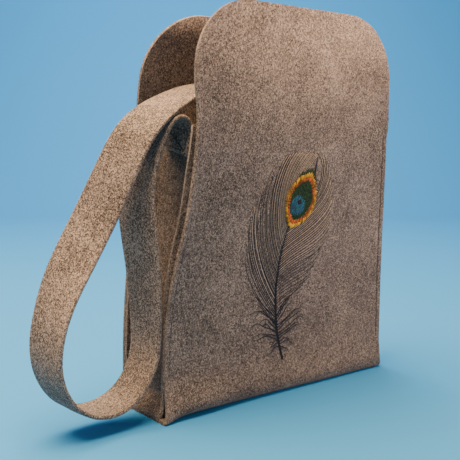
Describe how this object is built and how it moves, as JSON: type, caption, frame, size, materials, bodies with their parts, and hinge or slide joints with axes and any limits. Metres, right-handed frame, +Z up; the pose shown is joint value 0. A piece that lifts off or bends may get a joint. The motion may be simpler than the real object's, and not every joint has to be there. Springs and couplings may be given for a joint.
{
  "type": "felt carry bag",
  "caption": "Open-topped bag of thick wool felt with standing rounded mouth flaps, narrow side gussets, a long felt strap and an embroidered feather on its front.",
  "frame": {"origin": "centre of the bag's flat base, in the plane it stands on", "axes": "+X to the right of the bag seen from the front, +Y from its front to its back, +Z up"},
  "size_m": [0.3429, 0.0849, 0.3256],
  "materials": {
    "felt": "matte, fuzzy, mottled grey-brown wool felt",
    "strap_felt": "matte, fuzzy, mottled grey-brown wool felt",
    "thread": "matte spun thread",
    "embroidery_navy": "soft sheen embroidery thread",
    "embroidery_gold": "soft sheen embroidery thread",
    "embroidery_bronze": "soft sheen embroidery thread",
    "embroidery_green": "soft sheen embroidery thread",
    "embroidery_blue": "soft sheen embroidery thread"
  },
  "bodies": {
    "bag": {"front_panel": "felt", "back_panel": "felt", "front_fold": "felt", "back_fold": "felt", "bottom_panel": "felt", "gusset_left": "felt", "gusset_left_foot": "felt", "gusset_right": "felt", "gusset_right_foot": "felt", "strap_left_end": "strap_felt", "strap_return_fold": "strap_felt", "strap_rim_fold": "strap_felt", "strap_mouth_span": "strap_felt", "strap_right_end": "strap_felt", "seam_thread_front_left": "thread", "seam_thread_front_right": "thread", "seam_thread_back_left": "thread", "seam_thread_back_right": "thread", "box_stitch_left": "thread", "box_stitch_right": "thread", "feather_shaft": "embroidery_navy", "feather_vane_left": "embroidery_navy", "feather_vane_right": "embroidery_navy", "feather_down_left": "embroidery_navy", "feather_down_right": "embroidery_navy", "feather_eye_gold": "embroidery_gold", "feather_eye_bronze": "embroidery_bronze", "feather_eye_green": "embroidery_green", "feather_eye_blue": "embroidery_blue"},
    "front_flap": {"front_wing": "felt"},
    "back_flap": {"back_wing": "felt"},
    "strap_loop": {"strap_return_strand": "strap_felt", "strap_loop_bottom": "strap_felt", "strap_outer_strand": "strap_felt"}
  },
  "joints": [
    {"name": "front_wing_fold", "type": "hinge", "parent": "bag", "child": "front_flap", "pos_m": [0, -0.04935, 0.247], "axis": [1, 0, 0], "range_deg": [-18, 90], "stiffness_Nm_per_rad": 0.1, "deforming": ["front_fold"]},
    {"name": "back_wing_fold", "type": "hinge", "parent": "bag", "child": "back_flap", "pos_m": [0, 0.0305, 0.247], "axis": [-1, 0, 0], "range_deg": [-10, 90], "stiffness_Nm_per_rad": 0.1, "deforming": ["back_fold"]},
    {"name": "strap_loop_lift", "type": "hinge", "parent": "bag", "child": "strap_loop", "pos_m": [-0.106, -0.005, 0.241], "axis": [0, 1, 0], "range_deg": [0, 120], "deforming": ["strap_return_fold", "strap_rim_fold"]}
  ]
}
